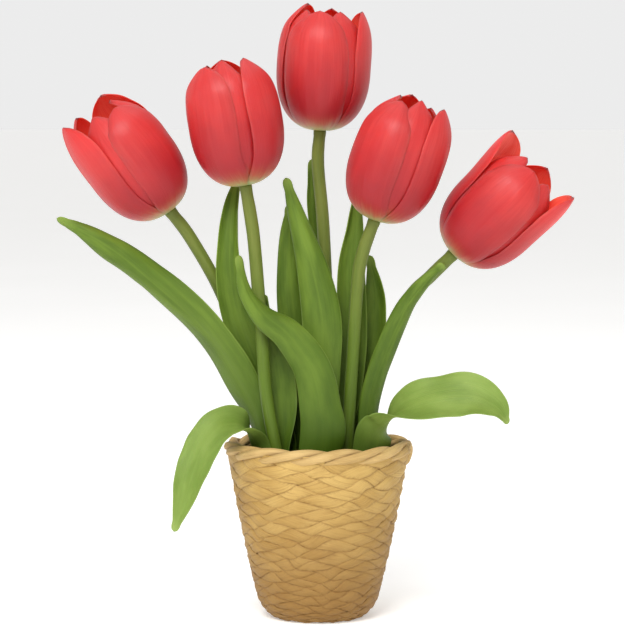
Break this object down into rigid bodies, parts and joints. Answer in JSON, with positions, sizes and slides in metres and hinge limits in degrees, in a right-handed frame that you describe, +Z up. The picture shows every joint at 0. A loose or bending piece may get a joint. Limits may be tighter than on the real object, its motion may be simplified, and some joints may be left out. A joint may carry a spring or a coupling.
{
  "type": "tulips in a woven vase",
  "caption": "Cut tulips with closed cup-shaped flowers, bending stems and long leaves, standing in a tapered woven straw vase with a twisted rope rim.",
  "frame": {"origin": "centre of the vase's foot, on the surface it stands on", "axes": "+Z up, out of the vase; -Y towards the front of the arrangement, +X to the viewer's right"},
  "size_m": [0.2863, 0.135, 0.347],
  "materials": {
    "petal": "satin, smooth and waxy, paler at the foot",
    "heart": "matte, powdery",
    "stem": "satin, waxy",
    "leaf": "satin, waxy, with fine lengthwise veins",
    "leaf_drooping": "satin, waxy, with fine lengthwise veins",
    "straw": "woven straw, dry and fibrous",
    "straw_rope": "twisted straw, dry and fibrous",
    "liner": "matte"
  },
  "bodies": {
    "root": {"basket": "straw", "liner": "liner", "rope_rim": "straw_rope", "tulip_1_stem": "stem", "tulip_1_heart": "heart", "tulip_1_outer_petal_1": "petal", "tulip_1_outer_petal_2": "petal", "tulip_1_outer_petal_3": "petal", "tulip_1_inner_petal_1": "petal", "tulip_1_inner_petal_2": "petal", "tulip_1_inner_petal_3": "petal", "tulip_2_stem": "stem", "tulip_2_heart": "heart", "tulip_2_outer_petal_1": "petal", "tulip_2_outer_petal_2": "petal", "tulip_2_outer_petal_3": "petal", "tulip_2_inner_petal_1": "petal", "tulip_2_inner_petal_2": "petal", "tulip_2_inner_petal_3": "petal", "tulip_3_stem": "stem", "tulip_3_heart": "heart", "tulip_3_outer_petal_1": "petal", "tulip_3_outer_petal_2": "petal", "tulip_3_outer_petal_3": "petal", "tulip_3_inner_petal_1": "petal", "tulip_3_inner_petal_2": "petal", "tulip_3_inner_petal_3": "petal", "tulip_4_stem": "stem", "tulip_4_heart": "heart", "tulip_4_outer_petal_1": "petal", "tulip_4_outer_petal_2": "petal", "tulip_4_outer_petal_3": "petal", "tulip_4_inner_petal_1": "petal", "tulip_4_inner_petal_2": "petal", "tulip_4_inner_petal_3": "petal", "tulip_5_stem": "stem", "tulip_5_heart": "heart", "tulip_5_outer_petal_1": "petal", "tulip_5_outer_petal_2": "petal", "tulip_5_outer_petal_3": "petal", "tulip_5_inner_petal_1": "petal", "tulip_5_inner_petal_2": "petal", "tulip_5_inner_petal_3": "petal", "leaf_left_long": "leaf", "leaf_left_upright": "leaf", "leaf_left_drooping": "leaf_drooping", "leaf_front_twisted": "leaf", "leaf_left_inner": "leaf", "leaf_centre_broad": "leaf", "leaf_centre_back": "leaf", "leaf_top_narrow": "leaf", "leaf_right_upright": "leaf", "leaf_right_back": "leaf", "leaf_right_clasping": "leaf", "leaf_right_drooping": "leaf_drooping", "leaf_rear_short": "leaf", "leaf_rear_drooping": "leaf_drooping"}
  },
  "joints": []
}
